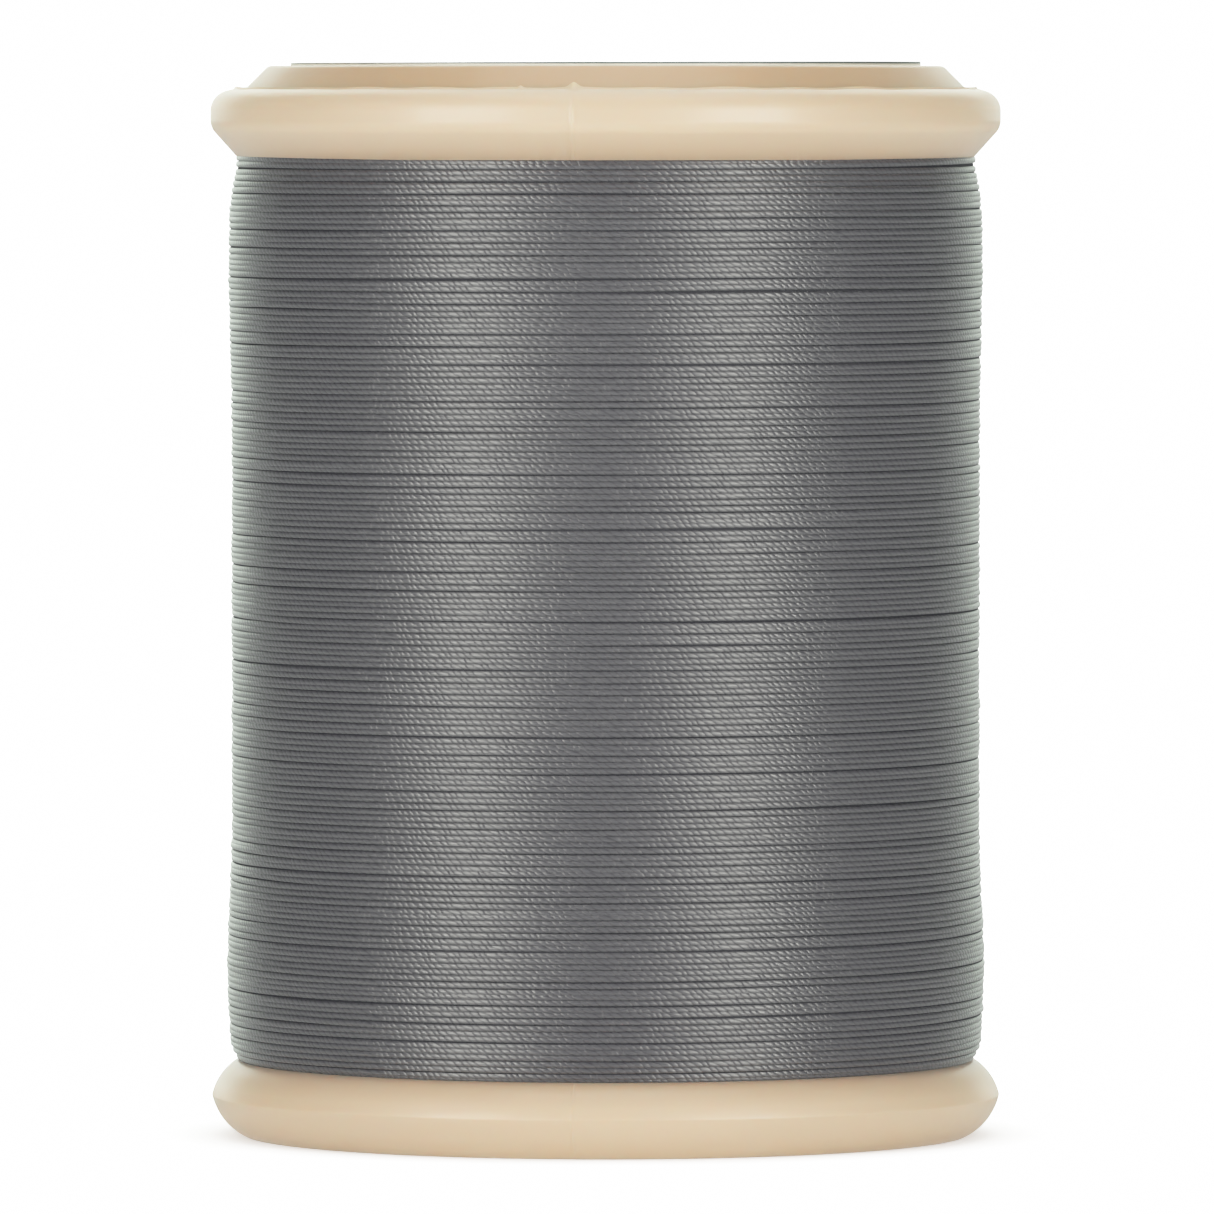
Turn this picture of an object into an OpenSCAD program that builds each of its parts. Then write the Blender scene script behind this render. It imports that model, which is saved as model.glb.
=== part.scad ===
// Wound sewing-thread spool: a split-moulded spool body with two beaded flanges, a press-in end
// cap with a conical shoulder, one package of thread between the flanges, and a paper disc glued
// on each end. Millimetres. +Z runs along the bore, and the spool stands on its lower rim at z = 0.

/* [Overall] */
// Height over the upper paper disc
overall_h = 44.85; // [40:0.05:50]
// Diameter over the widest point of the upper flange's bead
flange_d = 33; // [32:0.1:36]

/* [Barrel and bore] */
// Outer diameter of the barrel that the thread is wound on
barrel_d = 20; // [18:0.5:22]
// Wall of the barrel
barrel_wall = 1.2; // [1:0.1:1.6]
// Diameter of the bore that takes a sewing machine's spool pin
bore_d = 7.5; // [6:0.1:8]
// Wall of the hub tube around the bore
hub_wall = 1.2; // [0.8:0.1:1.4]
// Ribs that tie the hub tube to the barrel
rib_count = 6; // [3:1:8]
// Thickness of one rib
rib_t = 0.9; // [0.6:0.1:1.2]

/* [Flanges] */
// Height of the lower flange, from its foot to the first turn of thread
lower_flange_h = 3.15; // [3.1:0.05:3.8]
// Height of the upper flange's bead, from the last turn of thread to its flat top
upper_flange_h = 2.95; // [2.9:0.05:3.3]
// Thickness of the flange webs between the bead and the barrel
web_t = 1.4; // [1.2:0.1:1.6]
// Depth of the round recess in the foot, which takes the lower paper disc
foot_recess = 0.6; // [0.4:0.1:0.8]

/* [End cap] */
// Height of the shoulder above the upper flange
shoulder_h = 0.92; // [0.8:0.02:1.2]
// Diameter of the shoulder where it meets the upper flange
shoulder_d = 30; // [29:0.1:30.4]
// Length of the skirt that presses into the barrel
skirt_l = 6; // [5:0.5:10]

/* [Thread] */
// Diameter of the package of thread half way up
thread_d = 31.3; // [29:0.1:31.4]
// How much the package's radius grows near the lower flange
lower_swell = 0.2; // [0:0.02:0.24]
// How much the package's radius grows near the upper flange
upper_swell = 0.12; // [0:0.02:0.24]

/* [Paper discs] */
// Diameter of both paper discs
disc_d = 26.3; // [22:0.1:26.8]
// Diameter of the hole in the middle of each disc
disc_hole_d = 9.2; // [8.6:0.1:11]
// Thickness of the paper and its glue
disc_t = 0.18; // [0.1:0.01:0.2]

/* [Hidden] */
$fn = 96;

PLASTIC = [0.88, 0.81, 0.70];
CAP_PLASTIC = [0.82, 0.73, 0.61];
THREAD = [0.43, 0.44, 0.45];
PAPER = [0.93, 0.93, 0.90];

clear = 0.05;    // radial clearance of the cap's press-in faces
chamfer = 0.4;   // lead-in at both mouths of the bore
eps = 0.01;
STEPS = 8;       // straight steps in one rounded stretch of an outline

// Levels along the axis.
cap_top_z = overall_h - disc_t;
flange_top_z = cap_top_z - shoulder_h;
winding_z0 = lower_flange_h;
winding_z1 = flange_top_z - upper_flange_h;
seat_z = winding_z1 + web_t;             // floor of the cap's seat in the upper flange
web_z = foot_recess + web_t;             // top of the lower web, inside the barrel
hub_top_z = flange_top_z - 2.7;

// Radii.
flange_r = flange_d / 2;
barrel_r = barrel_d / 2;
barrel_in = barrel_r - barrel_wall;
bore_r = bore_d / 2;
hub_r = bore_r + hub_wall;
seat_r = 13.2;
recess_r = 13.7;
shoulder_r = shoulder_d / 2;

// Lower bead: a shallow arc from the foot out to a faint ridge, then a tight arc back to 45 degrees.
ridge_r = flange_r - 0.04;
ridge_z = 1.65;
foot_r = 15.14;
foot_arc = 2.45;
heel_arc = 1.2;
heel_z = ridge_z + 0.1;

// Upper bead: 48 degrees out from the winding, a short straight, then a round up to the flat top.
brow_arc = 0.8;
brow_z = flange_top_z - 1.35;
crown_arc = 0.95;
crown_z = flange_top_z - crown_arc;
brow_angle = 48;

// The cap's spigot fits the seat, its skirt fits the barrel, and its collar fits over the hub tube.
spigot_r = seat_r - clear;
spigot_w = 0.95;
spigot_l = 1.45;
skirt_r = barrel_in - clear;
skirt_wall = 1.15;
collar_r = hub_r + clear;
collar_wall = 1.1;
collar_l = 1.8;
hub_seat_z = hub_top_z + 0.15;

// Snap ring low on the cap's skirt, and the groove in the barrel that it clicks into.
snap_z = flange_top_z - skirt_l + 1.2;
snap_r = 0.2;
rib_top_z = snap_z - 3;

// The winding's two swells, as [distance from the flange, width], and how far its radius drops
// again at the first turn and at the last, as [drop, width].
lower_swell_at = [4, 3.2];
upper_swell_at = [4.5, 4];
first_drop = [0.3, 0.42];
last_drop = [0.28, 1.15];
WINDING_STEPS = 90;

// Points on an arc about (x, y), from angle a0 to angle a1.
function arc(x, y, r, a0, a1) =
    [for (i = [0:STEPS]) let (a = a0 + (a1 - a0) * i / STEPS) [x + r * cos(a), y + r * sin(a)]];

// Centre of the circle of radius r through p and q, on the left of the way from p to q.
function arc_centre(p, q, r) =
    let (d = (q - p) / 2, h = sqrt(r * r - d * d) / norm(d))
    (p + q) / 2 + h * [-d[1], d[0]];

function angle_from(c, p) = atan2(p[1] - c[1], p[0] - c[0]);

// Lower bead's outline, from the foot up to where it meets the winding.
function lower_bead() =
    let (
        p = [foot_r, 0],
        q = [ridge_r, ridge_z],
        c = arc_centre(p, q, foot_arc),
        heel = arc(ridge_r - heel_arc, heel_z, heel_arc, 0, 45),
        last = heel[STEPS]
    )
    concat(
        arc(c[0], c[1], foot_arc, angle_from(c, p), angle_from(c, q)),
        heel,
        [[last[0] - (winding_z0 - last[1]), winding_z0]]
    );

// Upper bead's outline, from the winding up to the flat top.
function upper_bead() =
    let (
        brow = arc(flange_r - brow_arc, brow_z, brow_arc, brow_angle - 90, 0),
        first = brow[0]
    )
    concat(
        [[first[0] - (first[1] - winding_z1) / tan(brow_angle), winding_z1]],
        brow,
        arc(flange_r - crown_arc, crown_z, crown_arc, 0, 90)
    );

// The winding's radius at height z: it swells near both flanges and drops at its two ends.
function bell(x, width) = exp(-pow(x / width, 2));
function thread_r(z) =
    let (low = z - winding_z0, high = winding_z1 - z)
    thread_d / 2
    + lower_swell * bell(low - lower_swell_at[0], lower_swell_at[1])
    + upper_swell * bell(high - upper_swell_at[0], upper_swell_at[1])
    - first_drop[0] * bell(low, first_drop[1])
    - last_drop[0] * bell(high, last_drop[1]);

// The round body of the spool, as half a section.
module body_section() {
    polygon(concat(
        [[recess_r, 0]],
        lower_bead(),
        [[barrel_r, winding_z0], [barrel_r, winding_z1]],
        upper_bead(),
        [
            [seat_r, flange_top_z],
            [seat_r, seat_z],
            [barrel_in, seat_z],
            [barrel_in, web_z],
            [hub_r, web_z],
            [hub_r, hub_top_z],
            [bore_r, hub_top_z],
            [bore_r, foot_recess + chamfer],
            [bore_r + chamfer, foot_recess],
            [recess_r, foot_recess]
        ]
    ));
}

// Body: foot, lower flange, barrel, hub tube, ribs and upper flange in one moulding.
module spool_body() {
    color(PLASTIC) {
        difference() {
            rotate_extrude() body_section();
            snap_groove();
        }
        for (i = [0:rib_count - 1]) rotate(i * 360 / rib_count) rib();
    }
}

// Groove in the barrel for the cap's snap ring.
module snap_groove() {
    rotate_extrude() translate([barrel_in, snap_z]) circle(snap_r + clear);
}

// One rib between the hub tube and the barrel, below the end of the cap's skirt.
module rib() {
    translate([hub_r - hub_wall / 2, -rib_t / 2, web_z - eps])
        cube([barrel_in - hub_r + (hub_wall + barrel_wall) / 2, rib_t, rib_top_z - web_z]);
}

// Press-in end cap: shouldered plate, spigot in the flange's seat, skirt in the barrel and a
// collar over the hub tube, all turned about the axis.
module top_cap() {
    color(CAP_PLASTIC) {
        rotate_extrude() cap_section();
        rotate_extrude() translate([skirt_r, snap_z]) circle(snap_r);
    }
}

// The end cap without its snap ring, as half a section.
module cap_section() {
    polygon(concat(
        [[bore_r, hub_seat_z], [bore_r, cap_top_z - chamfer], [bore_r + chamfer, cap_top_z]],
        shoulder_edge(),
        [
            [shoulder_r, flange_top_z],
            [spigot_r, flange_top_z],
            [spigot_r, flange_top_z - spigot_l],
            [spigot_r - spigot_w, flange_top_z - spigot_l],
            [spigot_r - spigot_w, flange_top_z],
            [skirt_r, flange_top_z],
            [skirt_r, flange_top_z - skirt_l],
            [skirt_r - skirt_wall, flange_top_z - skirt_l],
            [skirt_r - skirt_wall, flange_top_z],
            [collar_r + collar_wall, flange_top_z],
            [collar_r + collar_wall, hub_top_z - collar_l],
            [collar_r, hub_top_z - collar_l],
            [collar_r, hub_seat_z]
        ]
    ));
}

// The cap's rounded top edge, from the flat top out to the 45 degree cone.
function shoulder_edge() =
    let (
        round = 0.8,
        corner_r = shoulder_r - shoulder_h,
        start_r = corner_r - round * tan(22.5)
    )
    arc(start_r, cap_top_z - round, round, 90, 45);

// The thread, wound in level turns from flange to flange.
module thread_winding() {
    step = (winding_z1 - winding_z0) / WINDING_STEPS;
    outline = [for (i = [0:WINDING_STEPS]) let (z = winding_z0 + i * step) [thread_r(z), z]];
    color(THREAD)
        rotate_extrude()
            polygon(concat([[barrel_r, winding_z1], [barrel_r, winding_z0]], outline));
}

// A flat paper disc with a round hole, its lower face at z.
module disc(z) {
    translate([0, 0, z])
        difference() {
            cylinder(d = disc_d, h = disc_t);
            translate([0, 0, -1]) cylinder(d = disc_hole_d, h = disc_t + 2);
        }
}

module top_label() {
    color(PAPER) disc(cap_top_z);
}

module bottom_label() {
    color(PAPER) disc(foot_recess - disc_t);
}

spool_body();
top_cap();
thread_winding();
top_label();
bottom_label();
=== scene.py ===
"""A spool of grey sewing thread: the looks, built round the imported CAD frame.

Sizes are written in millimetres and turned into metres by MM, and places come from the CAD nodes'
boxes. Azimuth 0 is the front of the spool, on -Y, and it grows towards +X.
"""

import math

import bpy
import numpy as np
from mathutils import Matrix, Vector


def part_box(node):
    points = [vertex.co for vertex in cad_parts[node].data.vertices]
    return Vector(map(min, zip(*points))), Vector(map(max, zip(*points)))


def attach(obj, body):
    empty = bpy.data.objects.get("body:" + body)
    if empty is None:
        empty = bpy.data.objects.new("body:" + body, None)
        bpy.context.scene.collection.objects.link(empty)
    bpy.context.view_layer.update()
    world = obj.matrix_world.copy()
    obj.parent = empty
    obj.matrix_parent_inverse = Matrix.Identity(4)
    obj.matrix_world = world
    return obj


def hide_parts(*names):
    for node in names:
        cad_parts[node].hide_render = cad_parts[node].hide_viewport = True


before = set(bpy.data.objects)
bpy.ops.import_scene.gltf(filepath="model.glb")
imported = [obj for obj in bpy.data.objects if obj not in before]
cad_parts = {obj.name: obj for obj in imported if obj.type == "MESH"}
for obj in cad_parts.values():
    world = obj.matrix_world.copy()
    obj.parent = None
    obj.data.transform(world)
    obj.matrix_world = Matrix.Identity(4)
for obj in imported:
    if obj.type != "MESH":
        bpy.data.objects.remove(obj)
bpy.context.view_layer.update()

MM = 0.001
TAU = 2 * math.pi
SEED = 20
BODY = "root"


def node_box(node):
    """A CAD node's lowest and highest corner, in millimetres."""
    lo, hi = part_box(node)
    return np.array(lo) / MM, np.array(hi) / MM


# Driving sizes, read from the frame, in millimetres.
_, body_hi = node_box("spool_body")
_, cap_hi = node_box("top_cap")
winding_lo, winding_hi = node_box("thread_winding")
_, top_label_hi = node_box("top_label")
low_label_lo, low_label_hi = node_box("bottom_label")
FLANGE_R = body_hi[0]
FLANGE_TOP = body_hi[2]
SHOULDER_R = cap_hi[0]
CAP_TOP = cap_hi[2]
WINDING_Z0, WINDING_Z1 = winding_lo[2], winding_hi[2]
LABEL_R = top_label_hi[0]
FOOT_RECESS = low_label_hi[2]

# Sizes of the mouldings, as in the CAD source.
BARREL_R, BARREL_IN = 10.0, 8.8
BORE_R, HUB_R = 3.75, 4.95
SEAT_R, RECESS_R = 13.2, 13.7
WEB = 1.4
CHAMFER = 0.4
CLEAR = 0.05
LABEL_HOLE_R = 4.6
HUB_TOP = FLANGE_TOP - 2.7
HUB_SEAT_GAP = 0.15
SPIGOT_WALL, SPIGOT_LENGTH = 0.95, 1.45
SKIRT_WALL, SKIRT_LENGTH = 1.15, 6
COLLAR_WALL, COLLAR_LENGTH = 1.1, 1.8
SNAP_Z, SNAP_R = FLANGE_TOP - 4.8, 0.2


# ---------------------------------------------------------------- outlines

def arc(cx, cy, r, a0, a1, steps=14):
    """Points on an arc about (cx, cy), from angle a0 to a1 in degrees."""
    turn = [math.radians(a0 + (a1 - a0) * i / steps) for i in range(steps + 1)]
    return [(cx + r * math.cos(t), cy + r * math.sin(t)) for t in turn]


def arc_from(p, r, a0, a1, steps=14):
    """An arc of radius r that starts at p, where its centre lies opposite to angle a0."""
    turn = math.radians(a0)
    return arc(p[0] - r * math.cos(turn), p[1] - r * math.sin(turn), r, a0, a1, steps)


def arc_through(p, q, r, steps=14):
    """An arc of radius r from p to q, bulging to the right of the way from p to q."""
    dx, dy = (q[0] - p[0]) / 2, (q[1] - p[1]) / 2
    half = math.hypot(dx, dy)
    h = math.sqrt(r * r - half * half) / half
    cx, cy = p[0] + dx - h * dy, p[1] + dy + h * dx
    a0 = math.degrees(math.atan2(p[1] - cy, p[0] - cx))
    a1 = math.degrees(math.atan2(q[1] - cy, q[0] - cx))
    return arc(cx, cy, r, a0, a1, steps)


def refine(points, step):
    """The closed outline with points added so that no straight is longer than step."""
    out = []
    for p, q in zip(points, points[1:] + points[:1]):
        n = max(1, math.ceil(math.dist(p, q) / step))
        out += [(p[0] + (q[0] - p[0]) * i / n, p[1] + (q[1] - p[1]) * i / n) for i in range(n)]
    return out


# Lower bead.
RIDGE_R, RIDGE_Z = FLANGE_R - 0.04, 1.65
FOOT_R, FOOT_ARC = 15.14, 2.45
ROLL_ARC, ROLL_FROM = 0.16, -13        # the ridge itself: its radius, and the angle it starts at
HEEL_ARC, HEEL_FROM, HEEL_TO = 2.28, 14, 61      # above the ridge, up to the thread
# Upper bead.
BROW_ARC, BROW_Z, BROW_ANGLE = 0.8, FLANGE_TOP - 1.35, 48
CROWN_ARC, CROWN_SQUASH = 0.95, 0.92
LIP_R, LIP_WIDTH = 15.5, 0.16          # the flash lip along the crown's inner edge
# Small breaks of edges.
RECESS_EDGE, SHOULDER_EDGE, CAP_ROUND = 0.12, 0.04, 0.4


def lower_bead():
    """From the foot out to the faint ridge, and round to the first turn of thread."""
    roll = arc_from((RIDGE_R, RIDGE_Z), ROLL_ARC, ROLL_FROM, HEEL_FROM, 4)
    heel = arc_from(roll[-1], HEEL_ARC, HEEL_FROM, HEEL_TO)
    foot = arc_through((FOOT_R, 0), (RIDGE_R, RIDGE_Z), FOOT_ARC, 18)
    return foot + roll[1:] + heel[1:-1] + [(heel[-1][0], WINDING_Z0)]


def upper_bead():
    """From the last turn of thread out at 48 degrees, up, and round to the flat top."""
    brow = arc(FLANGE_R - BROW_ARC, BROW_Z, BROW_ARC, BROW_ANGLE - 90, 0)
    r, z = brow[0]
    start = (r - (z - WINDING_Z1) / math.tan(math.radians(BROW_ANGLE)), WINDING_Z1)
    middle = FLANGE_TOP - CROWN_ARC
    crown = [
        (x, middle + (y - middle) * CROWN_SQUASH)
        for x, y in arc(FLANGE_R - CROWN_ARC, middle, CROWN_ARC, 0, 90, 22)
    ]
    return [start] + brow + crown + [(LIP_R, FLANGE_TOP), (LIP_R - 0.12, FLANGE_TOP)]


def body_outline():
    """The body's half section, from the foot's inner edge outwards, up, and down its inside."""
    seat_z = WINDING_Z1 + WEB
    web_z = FOOT_RECESS + WEB
    groove = arc(BARREL_IN, SNAP_Z, SNAP_R + CLEAR, 90, -90, 8)
    return (
        [(RECESS_R, RECESS_EDGE), (RECESS_R + RECESS_EDGE, 0)]
        + lower_bead()
        + [(BARREL_R, WINDING_Z0), (BARREL_R, WINDING_Z1)]
        + upper_bead()
        + [(SEAT_R, FLANGE_TOP), (SEAT_R, seat_z), (BARREL_IN, seat_z)]
        + groove
        + [(BARREL_IN, web_z), (HUB_R, web_z), (HUB_R, HUB_TOP), (BORE_R, HUB_TOP)]
        + [(BORE_R, FOOT_RECESS + CHAMFER), (BORE_R + CHAMFER, FOOT_RECESS), (RECESS_R, FOOT_RECESS)]
    )


def cap_outline():
    """The cap's half section: top, 45 degree cone, spigot, skirt with its snap ring, collar."""
    corner = SHOULDER_R - (CAP_TOP - FLANGE_TOP)
    start = corner - CAP_ROUND * math.tan(math.radians(22.5))
    low, hub_seat = FLANGE_TOP, HUB_TOP + HUB_SEAT_GAP
    spigot, spigot_in, spigot_end = SEAT_R - CLEAR, SEAT_R - CLEAR - SPIGOT_WALL, low - SPIGOT_LENGTH
    skirt, skirt_in, skirt_end = BARREL_IN - CLEAR, BARREL_IN - CLEAR - SKIRT_WALL, low - SKIRT_LENGTH
    collar, collar_out, collar_end = HUB_R + CLEAR, HUB_R + CLEAR + COLLAR_WALL, HUB_TOP - COLLAR_LENGTH
    return (
        [(BORE_R, hub_seat), (BORE_R, CAP_TOP - CHAMFER), (BORE_R + CHAMFER, CAP_TOP)]
        + arc(start, CAP_TOP - CAP_ROUND, CAP_ROUND, 90, 45, 16)
        + [(SHOULDER_R - SHOULDER_EDGE, low + SHOULDER_EDGE), (SHOULDER_R, low)]
        + [(spigot, low), (spigot, spigot_end), (spigot_in, spigot_end), (spigot_in, low)]
        + [(skirt, low)]
        + arc(skirt, SNAP_Z, SNAP_R, 90, -90, 8)
        + [(skirt, skirt_end), (skirt_in, skirt_end), (skirt_in, low)]
        + [(collar_out, low), (collar_out, collar_end), (collar, collar_end), (collar, hub_seat)]
    )


# ---------------------------------------------------------------- meshes

def add_mesh(name, verts, faces, material, sharp=28):
    """A smooth-shaded mesh from points in millimetres, with edges sharper than that marked."""
    mesh = bpy.data.meshes.new(name)
    mesh.from_pydata((np.asarray(verts) * MM).tolist(), [], faces)
    mesh.validate()
    mesh.polygons.foreach_set("use_smooth", np.ones(len(mesh.polygons), bool))
    if sharp:
        mesh.set_sharp_from_angle(angle=math.radians(sharp))
    mesh.materials.append(material)
    obj = bpy.data.objects.new(name, mesh)
    bpy.context.scene.collection.objects.link(obj)
    return obj


def around(a, r, z):
    """Points at azimuth a, radius r and height z."""
    return np.stack([r * np.sin(a), -r * np.cos(a), z + 0 * a], axis=-1)


def grid_faces(rows, columns):
    """Quads over a rows by columns grid of points that closes both ways."""
    i = np.arange(rows)[:, None]
    j = np.arange(columns)[None, :]
    i2, j2 = (i + 1) % rows, (j + 1) % columns
    quads = np.stack([i * columns + j, i * columns + j2, i2 * columns + j2, i2 * columns + j], -1)
    return quads.reshape(-1, 4).tolist()


def lathe(name, outline, azimuths, material, shape=None, step=0.5, sharp=28):
    """Turns a closed outline about the axis. shape(a, r, z) may change r and z a little."""
    points = np.array(refine(outline, step))
    a, r = np.meshgrid(azimuths, points[:, 0])
    z = np.repeat(points[:, 1:], len(azimuths), 1)
    if shape:
        r, z = shape(a, r, z)
    verts = around(a, r, z).reshape(-1, 3)
    faces = grid_faces(len(points), len(azimuths))
    return add_mesh(name, verts, faces, material, sharp)


def waves(a, rng, periods, size):
    """A smooth closed random wave over azimuth, from sines of the given whole periods."""
    total = 0 * a
    for n in periods:
        total = total + rng.normal() * np.sin(n * a + rng.uniform(0, TAU))
    return total * size / math.sqrt(len(periods))


def hump(x, width):
    """A smooth bump of height 1 at x = 0."""
    return np.exp(-(x / width) ** 2)


def apart(a, b):
    """Signed angle from b to a, the short way round."""
    return (a - b + math.pi) % TAU - math.pi


# ---------------------------------------------------------------- materials

def new_material(name):
    """A new material with its nodes, its links and its shader."""
    material = bpy.data.materials.new(name)
    material.use_nodes = True
    nodes, links = material.node_tree.nodes, material.node_tree.links
    return material, nodes, links, nodes["Principled BSDF"]


def add_node(nodes, kind, **settings):
    """A node with those properties and inputs set. An input's name has _ where the node has a space."""
    node = nodes.new(kind)
    for key, value in settings.items():
        if hasattr(node, key):
            setattr(node, key, value)
        else:
            node.inputs[key.replace("_", " ")].default_value = value
    return node


def mapped(nodes, links, scale):
    """The object's own coordinates, scaled per axis."""
    place = nodes.new("ShaderNodeTexCoord")
    scaled = add_node(nodes, "ShaderNodeVectorMath", operation="MULTIPLY")
    scaled.inputs[1].default_value = scale
    links.new(place.outputs["Object"], scaled.inputs[0])
    return scaled.outputs[0]


def noise(nodes, links, vector, scale, detail=3.0, rough=0.5):
    node = add_node(nodes, "ShaderNodeTexNoise", Scale=scale, Detail=detail, Roughness=rough)
    links.new(vector, node.inputs["Vector"])
    return node.outputs["Fac"]


def ramp(nodes, links, value, stops):
    """A colour ramp over value, with stops as (position, colour)."""
    node = nodes.new("ShaderNodeValToRGB")
    elements = node.color_ramp.elements
    while len(elements) < len(stops):
        elements.new(0.5)
    for element, (position, colour) in zip(elements, stops):
        element.position = position
        element.color = (*colour, 1)
    links.new(value, node.inputs["Fac"])
    return node.outputs["Color"]


def set_inputs(shader, values):
    """Sets values on the shader's own sockets, by name."""
    for name, value in values.items():
        shader.inputs[name].default_value = value


def multiplied(nodes, links, one, other):
    """The product of two colours, which a Mix node takes at its inputs 6 and 7."""
    product = add_node(nodes, "ShaderNodeMix", data_type="RGBA", blend_type="MULTIPLY")
    product.inputs["Factor"].default_value = 1.0
    links.new(one, product.inputs[6])
    links.new(other, product.inputs[7])
    return product.outputs[2]


def bump(nodes, links, height, distance, strength=1.0, after=None):
    node = add_node(nodes, "ShaderNodeBump", Strength=strength, Distance=distance)
    links.new(height, node.inputs["Height"])
    if after:
        links.new(after, node.inputs["Normal"])
    return node.outputs["Normal"]


def math_node(nodes, links, operation, a, b=None, c=None):
    node = add_node(nodes, "ShaderNodeMath", operation=operation)
    for socket, value in zip(node.inputs, (a, b, c)):
        if isinstance(value, (int, float)):
            socket.default_value = value
        elif value is not None:
            links.new(value, socket)
    return node.outputs[0]


# Painted shade on the plastic where it meets the thread: a darker tint that fades out over the width,
# and lies a little higher up than the winding does.
PAINTED_SHADE_WIDTH, PAINTED_SHADE_TINT, PAINTED_SHADE_UP = 1.1, (0.72, 0.67, 0.67), 0.1


def mixed(colour, share):
    """The colour with that share of white mixed in."""
    return tuple(c + (1 - c) * share for c in colour)


def plastic_material(name, colour, warm, sheen):
    """Peach-beige moulded polystyrene: satin, a little translucent, with flow marks and painted shade
    where it meets the thread.
    """
    material, nodes, links, shader = new_material(name)
    place = mapped(nodes, links, (1, 1, 2.5))
    cloud = noise(nodes, links, place, 90, 4, 0.55)
    tint = ramp(nodes, links, cloud, [(0.3, warm), (0.7, colour)])
    # Painted shade: the plastic's colour is darkened a little where it meets the thread.
    split = nodes.new("ShaderNodeSeparateXYZ")
    links.new(mapped(nodes, links, (1, 1, 1)), split.inputs[0])
    middle = ((WINDING_Z0 + WINDING_Z1) / 2 + PAINTED_SHADE_UP) * MM
    half = (WINDING_Z1 - WINDING_Z0) / 2 * MM
    from_middle = math_node(
        nodes, links, "ABSOLUTE", math_node(nodes, links, "SUBTRACT", split.outputs["Z"], middle)
    )
    beyond = math_node(nodes, links, "SUBTRACT", from_middle, half)
    unshaded = math_node(nodes, links, "DIVIDE", beyond, PAINTED_SHADE_WIDTH * MM)
    painted_shade = ramp(nodes, links, unshaded, [(0.0, PAINTED_SHADE_TINT), (0.35, mixed(PAINTED_SHADE_TINT, 0.5)), (1.0, (1, 1, 1))])
    links.new(multiplied(nodes, links, tint, painted_shade), shader.inputs["Base Color"])
    fine = noise(nodes, links, place, 900, 3, 0.6)
    rough = add_node(nodes, "ShaderNodeMapRange", To_Min=0.38, To_Max=0.5)
    links.new(fine, rough.inputs["Value"])
    links.new(rough.outputs[0], shader.inputs["Roughness"])
    normal = bump(nodes, links, fine, 0.012 * MM, 0.5)
    normal = bump(nodes, links, cloud, 0.1 * MM, 0.5, normal)
    links.new(normal, shader.inputs["Normal"])
    set_inputs(shader, {
        "IOR": 1.5,
        "Coat Weight": 0.14,
        "Coat Roughness": 0.12,
        "Sheen Weight": sheen,
        "Sheen Roughness": 0.35,
        "Subsurface Weight": 0.45,
        "Subsurface Radius": (1.0, 0.42, 0.25),
        "Subsurface Scale": 0.9 * MM,
    })
    return material


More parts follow.
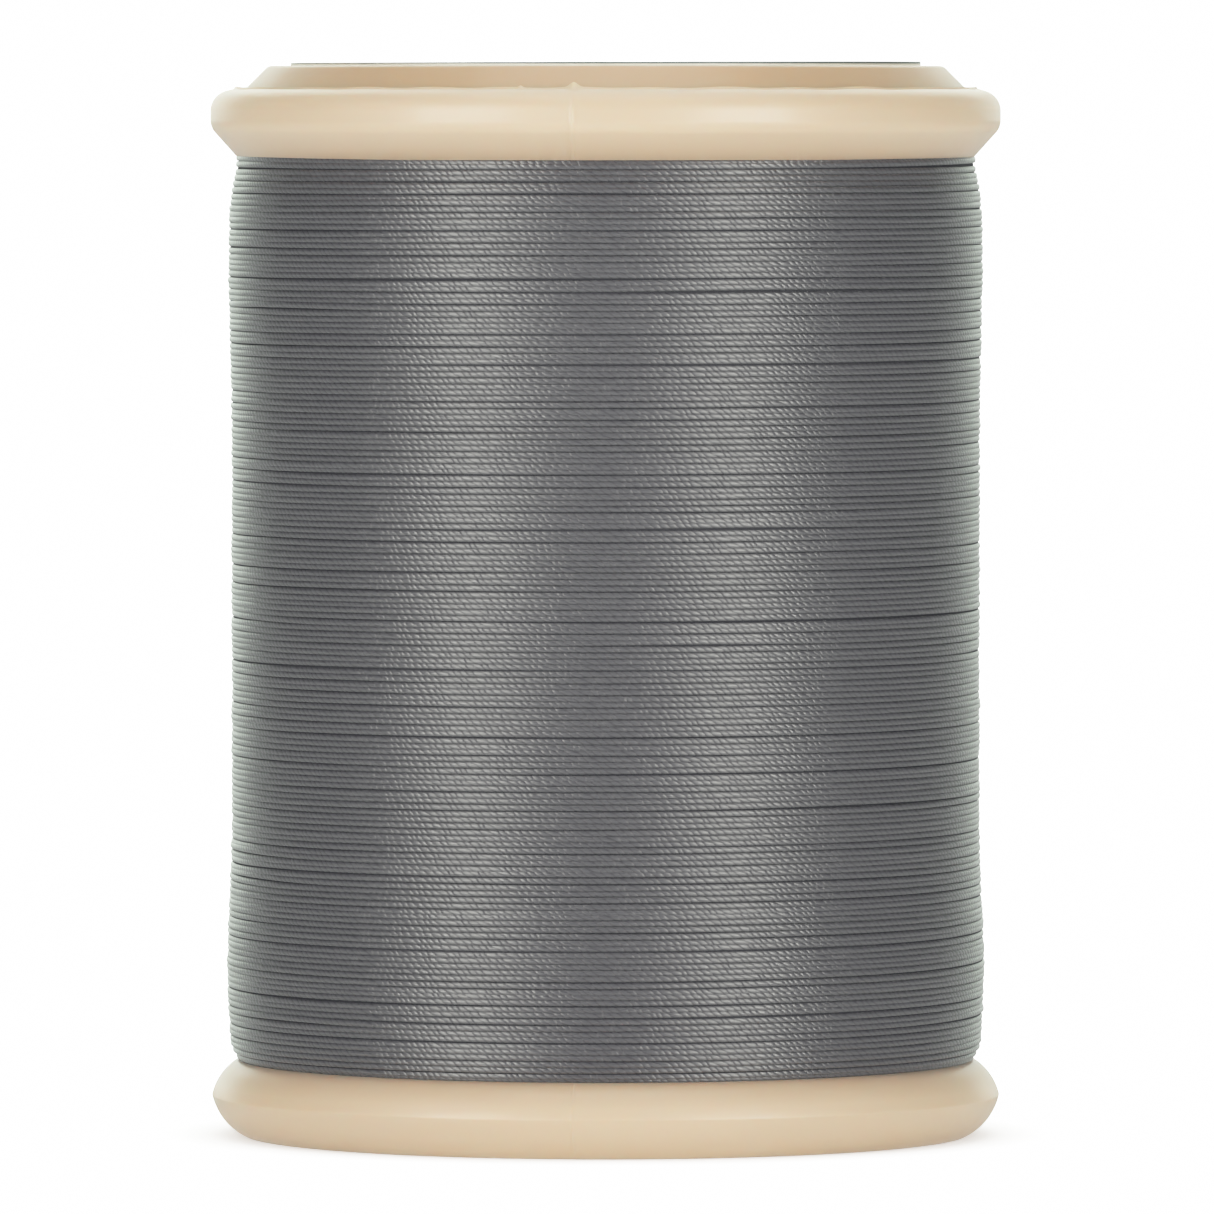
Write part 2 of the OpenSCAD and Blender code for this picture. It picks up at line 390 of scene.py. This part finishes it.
def thread_material():
    """Grey polyester: three plies laid up in a twist, each with a dull lengthwise sheen, and painted
    shade in the grooves and on the sides between turns.
    """
    material, nodes, links, shader = new_material("thread_grey_polyester")
    uv = nodes.new("ShaderNodeUVMap")
    uv.uv_map = THREAD_UV
    split = nodes.new("ShaderNodeSeparateXYZ")
    links.new(uv.outputs["UV"], split.inputs[0])
    along, across = split.outputs["X"], split.outputs["Y"]
    # The plies: three lobes round the section, turning once in each lay length.
    turned = math_node(nodes, links, "ADD", along, across)
    uneven = nodes.new("ShaderNodeCombineXYZ")
    links.new(math_node(nodes, links, "MULTIPLY", along, 0.8), uneven.inputs[0])
    slip = math_node(nodes, links, "MULTIPLY", noise(nodes, links, uneven.outputs[0], 1.0, 2, 0.5), 0.9)
    laid = math_node(nodes, links, "ADD", turned, slip)
    phase = math_node(nodes, links, "MULTIPLY", laid, PLIES * math.pi)
    lobes = math_node(nodes, links, "ABSOLUTE", math_node(nodes, links, "SINE", phase))
    plies = math_node(nodes, links, "POWER", lobes, 0.75)
    # Painted shade: the side that faces its neighbours gets little light, so its colour is darkened.
    turn = math_node(nodes, links, "MULTIPLY", across, TAU)
    facing = math_node(nodes, links, "MULTIPLY_ADD", math_node(nodes, links, "COSINE", turn), 0.5, 0.5)
    outer = math_node(nodes, links, "POWER", facing, 1.2)
    # Filaments within a ply run a little steeper than the ply.
    joined = nodes.new("ShaderNodeCombineXYZ")
    links.new(math_node(nodes, links, "MULTIPLY", along, 1.4), joined.inputs[0])
    links.new(math_node(nodes, links, "MULTIPLY", turned, 22.0), joined.inputs[1])
    fibres = noise(nodes, links, joined.outputs[0], 1.0, 2, 0.5)
    height = math_node(nodes, links, "ADD", plies, math_node(nodes, links, "MULTIPLY", fibres, 0.3))
    normal = bump(nodes, links, height, 0.016 * MM)
    links.new(normal, shader.inputs["Normal"])
    # Colour: painted shade between the plies, and slow changes along the thread.
    slow = nodes.new("ShaderNodeCombineXYZ")
    links.new(math_node(nodes, links, "MULTIPLY", along, 0.11), slow.inputs[0])
    drift = noise(nodes, links, slow.outputs[0], 1.0, 3, 0.6)
    shade = math_node(nodes, links, "MULTIPLY", plies, 0.95)
    shade = math_node(nodes, links, "ADD", shade, math_node(nodes, links, "MULTIPLY", drift, 0.3))
    shade = math_node(nodes, links, "ADD", shade, math_node(nodes, links, "MULTIPLY", fibres, 0.3))
    shade = math_node(nodes, links, "MULTIPLY", shade, outer)
    colour = ramp(nodes, links, shade, [(0.1, THREAD_DARK), (1.1, THREAD_LIGHT)])
    links.new(colour, shader.inputs["Base Color"])
    # Filaments run along the thread, so its gloss is narrow along it and wide across it.
    tangent = nodes.new("ShaderNodeTangent")
    tangent.direction_type = "UV_MAP"
    tangent.uv_map = THREAD_UV
    links.new(tangent.outputs["Tangent"], shader.inputs["Tangent"])
    set_inputs(shader, {
        "Anisotropic": 0.9,
        "Anisotropic Rotation": 0.25,
        "Roughness": 0.39,
        "Specular IOR Level": 1.0,
        "Specular Tint": (1.0, 1.0, 0.94, 1),
        "IOR": 1.62,
        "Sheen Weight": 0.26,
        "Sheen Roughness": 0.3,
        "Sheen Tint": (0.93, 1.0, 0.94, 1),
    })
    return material


def core_material():
    """The layers underneath, of which only dark slits show between the outer turns. Painted shade: they
    are coloured much darker than the same thread in the outer turns.
    """
    material, nodes, links, shader = new_material("thread_grey_inner_layers")
    place = mapped(nodes, links, (1, 1, 1))
    ripple = 1 / (RIPPLE_RADIAN * MM) / WAVE_RADIANS
    wave = add_node(nodes, "ShaderNodeTexWave", bands_direction="Z", Scale=ripple)
    links.new(place, wave.inputs["Vector"])
    mottle = noise(nodes, links, place, 2500, 2)
    shade = math_node(nodes, links, "MULTIPLY", wave.outputs["Fac"], mottle)
    colour = ramp(nodes, links, shade, [(0.0, INNER_DARK), (1.0, INNER_LIGHT)])
    links.new(colour, shader.inputs["Base Color"])
    links.new(bump(nodes, links, wave.outputs["Fac"], 0.05 * MM), shader.inputs["Normal"])
    shader.inputs["Roughness"].default_value = 0.75
    return material


def paper_material(name, stops, edge):
    """Coated paper disc with flat rings of ink by radius. Below the height edge it is bare."""
    material, nodes, links, shader = new_material(name)
    place = nodes.new("ShaderNodeTexCoord")
    flat = add_node(nodes, "ShaderNodeVectorMath", operation="MULTIPLY")
    flat.inputs[1].default_value = (1, 1, 0)
    links.new(place.outputs["Object"], flat.inputs[0])
    radius = add_node(nodes, "ShaderNodeVectorMath", operation="LENGTH")
    links.new(flat.outputs[0], radius.inputs[0])
    share = math_node(nodes, links, "DIVIDE", radius.outputs["Value"], LABEL_R * MM)
    printed = ramp(nodes, links, share, stops)
    printed.node.color_ramp.interpolation = "CONSTANT"
    split = nodes.new("ShaderNodeSeparateXYZ")
    links.new(place.outputs["Object"], split.inputs[0])
    above = math_node(nodes, links, "GREATER_THAN", split.outputs["Z"], edge * MM)
    mix = add_node(nodes, "ShaderNodeMix", data_type="RGBA")
    links.new(above, mix.inputs["Factor"])
    mix.inputs[6].default_value = (*PAPER_CORE, 1)
    links.new(printed, mix.inputs[7])
    grain = noise(nodes, links, mapped(nodes, links, (1, 1, 1)), 2200, 4, 0.65)
    speck = ramp(nodes, links, grain, [(0.3, (0.9, 0.9, 0.9)), (0.7, (1, 1, 1))])
    links.new(multiplied(nodes, links, mix.outputs[2], speck), shader.inputs["Base Color"])
    links.new(bump(nodes, links, grain, 0.01 * MM, 0.6), shader.inputs["Normal"])
    shader.inputs["Roughness"].default_value = 0.45
    return material


# ---------------------------------------------------------------- colours

PLASTIC = (0.67, 0.512, 0.366)
PLASTIC_WARM = (0.66, 0.497, 0.349)
CAP_PLASTIC = (0.51, 0.347, 0.224)
CAP_PLASTIC_WARM = (0.5, 0.335, 0.213)
PLASTIC_SHEEN, CAP_SHEEN = 0.26, 0.4
# THREAD_DARK is mostly painted shade: the colour in the grooves between plies and on the sides facing
# neighbouring turns.
THREAD_DARK = (0.0145, 0.0138, 0.024)
THREAD_LIGHT = (0.084, 0.083, 0.095)
# The inner layers' colours are painted shade: far darker than the same thread in the outer turns.
INNER_DARK, INNER_LIGHT = (0.012, 0.012, 0.018), (0.035, 0.035, 0.042)
PAPER_CORE = (0.80, 0.78, 0.66)
PAPER = (0.86, 0.86, 0.82)
INK = (0.16, 0.185, 0.18)
INK_LINE = (0.16, 0.18, 0.18)
THREAD_UV = "twist"
PLIES = 3
# The height in which the inner layers' ripple turns by one radian, and the radians by which a wave
# texture of scale 1 turns in one unit of length.
RIPPLE_RADIAN, WAVE_RADIANS = 0.25, 20

plastic = plastic_material("spool_polystyrene", PLASTIC, PLASTIC_WARM, PLASTIC_SHEEN)
cap_plastic = plastic_material("cap_polystyrene", CAP_PLASTIC, CAP_PLASTIC_WARM, CAP_SHEEN)
thread_grey = thread_material()
rings = [(0.0, PAPER), (0.40, INK_LINE), (0.415, PAPER), (0.78, INK_LINE), (0.795, PAPER), (0.86, INK)]
top_paper = paper_material("label_top_print", rings, CAP_TOP + 0.08)
low_paper = paper_material("label_low_print", rings, -1)


# ---------------------------------------------------------------- spool body

PARTING = math.radians(-4.8)       # the mould's parting line, and its other side half way round
PARTING_WIDTH = 0.07
# Nubs of flash on the lip: (azimuth, height, width).
NUBS = [(PARTING, 0.2, 0.22), (math.radians(-12.9), 0.08, 0.1), (PARTING + math.pi, 0.12, 0.25)]
EVEN = np.linspace(0, TAU, 288, endpoint=False)


def body_azimuths():
    """Even azimuths, with more of them across both parting lines and the nubs."""
    close = [np.radians(np.arange(-1.5, 1.51, 0.12)) + a for a, _, _ in NUBS]
    every = np.unique(np.round(np.concatenate([EVEN, *close]) % TAU, 5))
    too_close = 0.0008
    return every[np.concatenate([[True], np.diff(every) > too_close])]


def body_shape(a, r, z):
    """Adds the parting lines, the wavy lip of flash on the crown and its nubs."""
    rng = np.random.default_rng(SEED)
    bead = (r > FOOT_R + 0.02) & ((z < WINDING_Z0 - 0.05) | (z > WINDING_Z1 + 0.05))
    line = sum(hump(apart(a, side) * r, PARTING_WIDTH) for side in (PARTING, PARTING + math.pi))
    level = 0.032 + 0.012 * np.sin(z * 2.1 + 0.6)
    r = r + bead * (line * level + waves(a, rng, range(3, 9), 0.006))
    lip = hump(r - LIP_R, LIP_WIDTH) * (z > FLANGE_TOP - 0.12)
    rise = 0.022 + waves(a, rng, range(14, 34, 3), 0.018)
    for where, height, width in NUBS:
        rise = rise + height * hump(apart(a, where) * LIP_R, width)
    return r, z + lip * np.clip(rise, 0.0, None)


spool = lathe("spool_body_moulding", body_outline(), body_azimuths(), plastic, body_shape)
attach(spool, BODY)
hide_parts("spool_body")

cap = lathe("top_cap_moulding", cap_outline(), EVEN, cap_plastic)
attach(cap, BODY)
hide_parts("top_cap")


# ---------------------------------------------------------------- paper discs

def disc_outline(low, high):
    """A paper disc's half section between two heights, with its upper edges broken."""
    edge = 0.02
    return [
        (LABEL_HOLE_R, low), (LABEL_R, low), (LABEL_R, high - edge), (LABEL_R - edge, high),
        (LABEL_HOLE_R + edge, high), (LABEL_HOLE_R, high - edge),
    ]


def top_disc_shape(a, r, z):
    """The disc is glued a hair higher on +X, and its face is not quite flat."""
    rng = np.random.default_rng(SEED + 1)
    high = z > CAP_TOP + 0.05
    sink = 0.03 * (1 - np.sin(a)) * r / LABEL_R + np.abs(waves(a, rng, (2, 3, 5), 0.008))
    return r, z - high * sink


def low_disc_shape(a, r, z):
    """The lower face is not quite flat."""
    rng = np.random.default_rng(SEED + 2)
    low = z < FOOT_RECESS - 0.05
    return r, z + low * np.abs(waves(a, rng, (2, 3, 4), 0.01)) * r / LABEL_R


top_disc = lathe(
    "top_label_disc", disc_outline(CAP_TOP, top_label_hi[2]), EVEN, top_paper, top_disc_shape
)
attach(top_disc, BODY)
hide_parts("top_label")
low_disc = lathe(
    "bottom_label_disc", disc_outline(low_label_lo[2], FOOT_RECESS), EVEN, low_paper, low_disc_shape
)
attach(low_disc, BODY)
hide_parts("bottom_label")


# ---------------------------------------------------------------- thread

THREAD_W, THREAD_H = 0.266, 0.235      # a turn's section: height along the axis, depth across it
LAY = 1.03                             # length in which the plies turn once
PITCH = 0.2493
STEPS = 120                            # points in one turn
# Unevenness of the turns' height and depth: (size, points over which it is smooth).
WANDER = [(0.014, 48), (0.012, 28), (0.009, 9)]
DEPTH_WANDER = [(0.007, 7), (0.012, 32)]
RIDE_OVERS = 40
TUCK = 0.09                            # how far the first and the last turn dip
SIDES = np.radians([0, 32, 64, 96, 135, 180, 225, 264, 296, 328])      # round a turn's section


def package_r(z):
    """The package's outer radius at height z: two slight swells, and less at both ends."""
    low, high = z - WINDING_Z0, WINDING_Z1 - z
    return (
        15.65 + 0.2 * hump(low - 4, 3.2) + 0.12 * hump(high - 4.5, 4)
        - 0.3 * hump(low, 0.42) - 0.28 * hump(high, 1.15)
    )


def smooth_noise(count, spacing, rng):
    """Random values along the thread with unit spread, smooth over about that many steps."""
    knots = rng.normal(size=count // spacing + 4)
    x = np.arange(count) / spacing
    i = x.astype(int)
    t = x - i
    t = t * t * (3 - 2 * t)
    return (knots[i] * (1 - t) + knots[i + 1] * t) / 0.85


def winding_path():
    """The outer layer's centre line: azimuth, radius and height of each point, from the foot up.

    It starts and ends at the back, with one more turn at each end that dips under its neighbour.
    """
    rng = np.random.default_rng(SEED + 3)
    turns = round((WINDING_Z1 - WINDING_Z0 - THREAD_W) / PITCH)
    climb = (WINDING_Z1 - WINDING_Z0 - THREAD_W) / turns
    count = (turns + 2) * STEPS + 1
    turn = np.arange(count) / STEPS - 1
    a = turn * TAU + math.pi
    level = np.clip(turn, 0, turns)
    z = WINDING_Z0 + THREAD_W / 2 + climb * level
    inner = np.clip(np.minimum(turn, turns - turn) / 3, 0, 1)
    # Turns wander, slowly and quickly, so the gaps between them open and close along the way.
    for size, spacing in WANDER:
        z = z + inner * size * smooth_noise(count, spacing, rng)
    depth = 0 * z
    for size, spacing in DEPTH_WANDER:
        depth = depth + size * smooth_noise(count, spacing, rng)
    # Some turns ride up over the one above for part of the way round.
    for at in rng.uniform(4, turns - 4, RIDE_OVERS):
        ride = hump(turn - at, rng.uniform(0.03, 0.13))
        z = z + ride * rng.uniform(0.03, 0.08)
        depth = depth + ride * rng.uniform(0.0, 0.05)
    r = package_r(z) - THREAD_H / 2 + np.clip(depth, -0.03, 0.06) * inner
    # The first and the last turn tuck in under their neighbours.
    r = r - TUCK * np.clip(-turn, 0, 1) - TUCK * np.clip(turn - turns, 0, 1)
    # The last turns climb the bead at both sides.
    climbing = 1.4
    last = np.clip((turn - (turns - climbing)) / climbing, 0, 1)
    side = last * np.abs(np.sin(a)) ** 3
    return a, r + 0.05 * side, z + 0.17 * side


def squashed(x):
    """Turns a circle's sine or cosine into that of a rounder square, as pressed turns have."""
    return np.sign(x) * np.abs(x) ** 0.75


def tube(name, a, r, z, first, last, material):
    """A stretch of the outer layer, as a closed tube. Its UVs hold the length and the way round."""
    a, r, z = a[first:last], r[first:last], z[first:last]
    n, m = len(a), len(SIDES)
    out, up = squashed(np.cos(SIDES)) * THREAD_H / 2, squashed(np.sin(SIDES)) * THREAD_W / 2
    verts = around(a[:, None], r[:, None] + out, z[:, None] + up).reshape(-1, 3)
    i = np.arange(n - 1)[:, None]
    j = np.arange(m)[None, :]
    j2 = (j + 1) % m
    quads = np.stack([i * m + j, (i + 1) * m + j, (i + 1) * m + j2, i * m + j2], -1).reshape(-1, 4)
    caps = [list(range(m)), list(range((n - 1) * m, n * m))[::-1]]
    obj = add_mesh(name, verts, quads.tolist() + caps, material, sharp=75)
    arc_length = np.concatenate([[0], np.cumsum(np.diff(a) * (r[1:] + r[:-1]) / 2)]) / LAY
    u = arc_length[:, None] + np.zeros(m)
    v = np.append(SIDES, TAU) / TAU
    corner_u = np.stack([u[:-1], u[1:], u[1:], u[:-1]], -1).reshape(-1)
    one = np.stack([v[:-1], v[:-1], v[1:], v[1:]], -1)
    corner_v = np.broadcast_to(one, (n - 1, m, 4)).reshape(-1)
    uv = np.zeros((len(obj.data.loops), 2), np.float32)
    uv[: len(corner_u)] = np.stack([corner_u, corner_v], -1)
    layer = obj.data.uv_layers.new(name=THREAD_UV)
    layer.data.foreach_set("uv", uv.ravel())
    return obj


def core_outline():
    """The layers underneath. They end a little below the bottom of the outer turns' grooves."""
    under = THREAD_H * 0.36
    heights = np.linspace(WINDING_Z0, WINDING_Z1, 76)
    return [(BARREL_R, WINDING_Z1), (BARREL_R, WINDING_Z0)] + [(package_r(z) - under, z) for z in heights]


path = winding_path()
BANDS = ("lower", "middle", "upper")
edges = (np.linspace(0, (len(path[0]) - 1) / STEPS, len(BANDS) + 1).astype(int) * STEPS).tolist()
for band, start, end in zip(BANDS, edges, edges[1:]):
    turns_piece = tube("thread_turns_" + band, *path, start, end + 1, thread_grey)
    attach(turns_piece, BODY)
    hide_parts("thread_winding")
core = lathe("thread_inner_layers", core_outline(), EVEN[::2], core_material(), sharp=40)
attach(core, BODY)
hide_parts("thread_winding")


# ---------------------------------------------------------------- studio

CAMERA_AWAY, CAMERA_UP, CAMERA_SIDE = 627, 44.25, 0.055
LENS, SENSOR = 445, 36
AIM_Z = 22.05
STAGE_R = 3.0                          # the floor's and the backdrop's radius, in metres


def add_camera():
    """A camera with a long lens at the upper flange's height, aimed at half the spool's height."""
    data = bpy.data.cameras.new("camera")
    data.lens, data.sensor_width = LENS, SENSOR
    data.clip_start, data.clip_end = 0.01, 50
    camera = bpy.data.objects.new("camera", data)
    bpy.context.scene.collection.objects.link(camera)
    place = Vector((CAMERA_SIDE, -CAMERA_AWAY, CAMERA_UP)) * MM
    aim = Vector((CAMERA_SIDE, 0, AIM_Z)) * MM
    camera.location = place
    camera.rotation_euler = (aim - place).to_track_quat("-Z", "Y").to_euler()
    bpy.context.scene.camera = camera


def soft_box(name, azimuth, elevation, width, height, radiance):
    """A rectangular light seen from the spool at those angles, sized in degrees."""
    away = 0.55
    data = bpy.data.lights.new(name, "AREA")
    data.shape = "RECTANGLE"
    data.size = 2 * away * math.tan(math.radians(width / 2))
    data.size_y = 2 * away * math.tan(math.radians(height / 2))
    data.energy = radiance * math.pi * data.size * data.size_y
    data.color = KEY_TINT
    light = bpy.data.objects.new(name, data)
    bpy.context.scene.collection.objects.link(light)
    way = toward(azimuth, elevation)
    middle = Vector((0, 0, AIM_Z * MM))
    light.location = middle + way * away
    light.rotation_euler = (-way).to_track_quat("-Z", "Y").to_euler()
    light.visible_camera = False


def stage_disc(name, rings, material):
    """A round stage mesh about the axis from (radius, height) rings in metres."""
    count = 96
    verts, faces = [], []
    for r, z in rings:
        turns = [TAU * i / count for i in range(count)]
        verts += [(r * math.sin(t), -r * math.cos(t), z) for t in turns]
    for row in range(len(rings) - 1):
        low, high = row * count, (row + 1) * count
        for i in range(count):
            j = (i + 1) % count
            faces.append([low + i, low + j, high + j, high + i])
    faces.append(list(range(count))[::-1])
    mesh = bpy.data.meshes.new(name)
    mesh.from_pydata(verts, [], faces)
    mesh.materials.append(material)
    obj = bpy.data.objects.new(name, mesh)
    bpy.context.scene.collection.objects.link(obj)
    return obj


# The floor's glow in the camera's view, next to the foot and from a few millimetres away; the dimmer glow
# next to the foot is a painted contact shadow.
PAINTED_SHADOW_GLOW, FLOOR_GLOW, GLOW_WIDTH = 0.4, 3.0, 6
# What the floor gives off besides, onto the spool's lower faces.
FLOOR_LIGHT = 0.14

# The two keys are tall soft boxes, left and right of the camera. Each is three panels, one above
# the other: (name, azimuth, radiance of the low, middle and high panel). Angles are in degrees.
KEYS = [("key_left", -41.5, (2.6, 8.1, 5.9)), ("key_right", 39.5, (4.1, 8.2, 4.0))]
KEY_WIDTH, PANEL_ELEVATIONS, PANEL_HEIGHT = 27, (-10, 6, 22), 18
# The lamps inside them show as a flatter bright band: (name, azimuth, radiance).
LAMPS = [("lamp_left", -46, 2.6), ("lamp_right", 45, 8.4)]
LAMP_WIDTH, LAMP_HEIGHT = 20, 8
OVERHEAD = (0, 88, 40, 40, 2.6)        # azimuth, elevation, width, height, radiance
KEY_TINT = (1.0, 1.0, 0.97)
# The bright rear wall, in patches: (azimuth, elevation, radiance, cosines where it fades in).
REAR_WALL = [(180, 40, 2.2, 0.85, 0.95), (-163, 0, 2.9, 0.9, 0.97), (163, 0, 2.1, 0.9, 0.97)]
REAR_TINT = (0.9, 1.0, 0.89)


def floor_material():
    """Pale floor. What the camera sees of it is lifted to white, except for a painted shadow in a rim
    round the foot.
    """
    material, nodes, links, shader = new_material("studio_floor")
    shader.inputs["Base Color"].default_value = (0.8, 0.8, 0.8, 1)
    shader.inputs["Roughness"].default_value = 0.9
    shader.inputs["Emission Color"].default_value = (1, 1, 1, 1)
    seen = nodes.new("ShaderNodeLightPath").outputs["Is Camera Ray"]
    place = nodes.new("ShaderNodeTexCoord")
    radius = add_node(nodes, "ShaderNodeVectorMath", operation="LENGTH")
    links.new(place.outputs["Object"], radius.inputs[0])
    # Painted contact shadow: in the camera's view the glow is lower next to the foot.
    glow = add_node(nodes, "ShaderNodeMapRange", interpolation_type="LINEAR")
    glow.inputs["From Min"].default_value = FOOT_R * MM
    glow.inputs["From Max"].default_value = (FOOT_R + GLOW_WIDTH) * MM
    glow.inputs["To Min"].default_value = PAINTED_SHADOW_GLOW
    glow.inputs["To Max"].default_value = FLOOR_GLOW
    links.new(radius.outputs["Value"], glow.inputs["Value"])
    in_view = math_node(nodes, links, "MULTIPLY", seen, glow.outputs[0])
    strength = math_node(nodes, links, "MAXIMUM", in_view, FLOOR_LIGHT)
    links.new(strength, shader.inputs["Emission Strength"])
    return material


def backdrop_material():
    """Plain white, whatever the light."""
    material, nodes, links, shader = new_material("studio_backdrop")
    shader.inputs["Base Color"].default_value = (0, 0, 0, 1)
    shader.inputs["Emission Color"].default_value = (1, 1, 1, 1)
    shader.inputs["Emission Strength"].default_value = 3.2
    return material


def toward(azimuth, elevation):
    """Unit vector from the spool towards that azimuth and elevation, in degrees."""
    a, e = math.radians(azimuth), math.radians(elevation)
    return Vector((math.sin(a) * math.cos(e), -math.cos(a) * math.cos(e), math.sin(e)))


def studio_world():
    """A dark room with a bright white wall behind the spool, on +Y."""
    world = bpy.data.worlds.new("studio")
    world.use_nodes = True
    nodes, links = world.node_tree.nodes, world.node_tree.links
    place = nodes.new("ShaderNodeTexCoord")
    total = 0.0
    for azimuth, elevation, radiance, fade, full in REAR_WALL:
        ahead = add_node(nodes, "ShaderNodeVectorMath", operation="DOT_PRODUCT")
        ahead.inputs[1].default_value = toward(azimuth, elevation)
        links.new(place.outputs["Generated"], ahead.inputs[0])
        patch = add_node(nodes, "ShaderNodeMapRange", interpolation_type="SMOOTHSTEP")
        patch.inputs["From Min"].default_value = fade
        patch.inputs["From Max"].default_value = full
        links.new(ahead.outputs["Value"], patch.inputs["Value"])
        total = math_node(nodes, links, "MULTIPLY_ADD", patch.outputs[0], radiance, total)
    nodes["Background"].inputs["Color"].default_value = (*REAR_TINT, 1)
    links.new(total, nodes["Background"].inputs["Strength"])
    return world


# How the camera takes up light: even up to half, and rolling off to white above that.
ROLL_OFF = [(0, 0), (0.25, 0.25), (0.5, 0.495), (0.75, 0.672), (1, 0.79), (1.4, 0.9), (2, 0.975), (3, 1)]


def camera_response():
    """The roll-off on the view's curves. It stands on each colour's own curve, not the joint one."""
    view = bpy.context.scene.view_settings
    view.view_transform = "Standard"
    view.use_curve_mapping = True
    mapping = view.curve_mapping
    mapping.use_clip = False
    mapping.extend = "HORIZONTAL"
    mapping.clip_max_x = mapping.clip_max_y = 3
    for curve in list(mapping.curves)[:3]:
        while len(curve.points) < len(ROLL_OFF):
            curve.points.new(0.5, 0.5)
        for point, place in zip(curve.points, ROLL_OFF):
            point.location = place
    mapping.update()


def studio():
    stage_disc("floor", [(r, 0) for r in (0.02, 0.06, 0.3, STAGE_R)], floor_material())
    dome = [(STAGE_R * math.cos(t), STAGE_R * math.sin(t)) for t in np.linspace(-0.6, 1.57, 12)]
    wall = stage_disc("backdrop", dome, backdrop_material())
    wall.visible_diffuse = False
    wall.visible_glossy = False
    wall.visible_transmission = False
    wall.visible_shadow = False
    for name, azimuth, panels in KEYS:
        for elevation, radiance in zip(PANEL_ELEVATIONS, panels):
            soft_box(name, azimuth, elevation, KEY_WIDTH, PANEL_HEIGHT, radiance)
    for name, azimuth, radiance in LAMPS:
        soft_box(name, azimuth, 0, LAMP_WIDTH, LAMP_HEIGHT, radiance)
    soft_box("overhead", *OVERHEAD)
    bpy.context.scene.world = studio_world()
    camera_response()


add_camera()
studio()
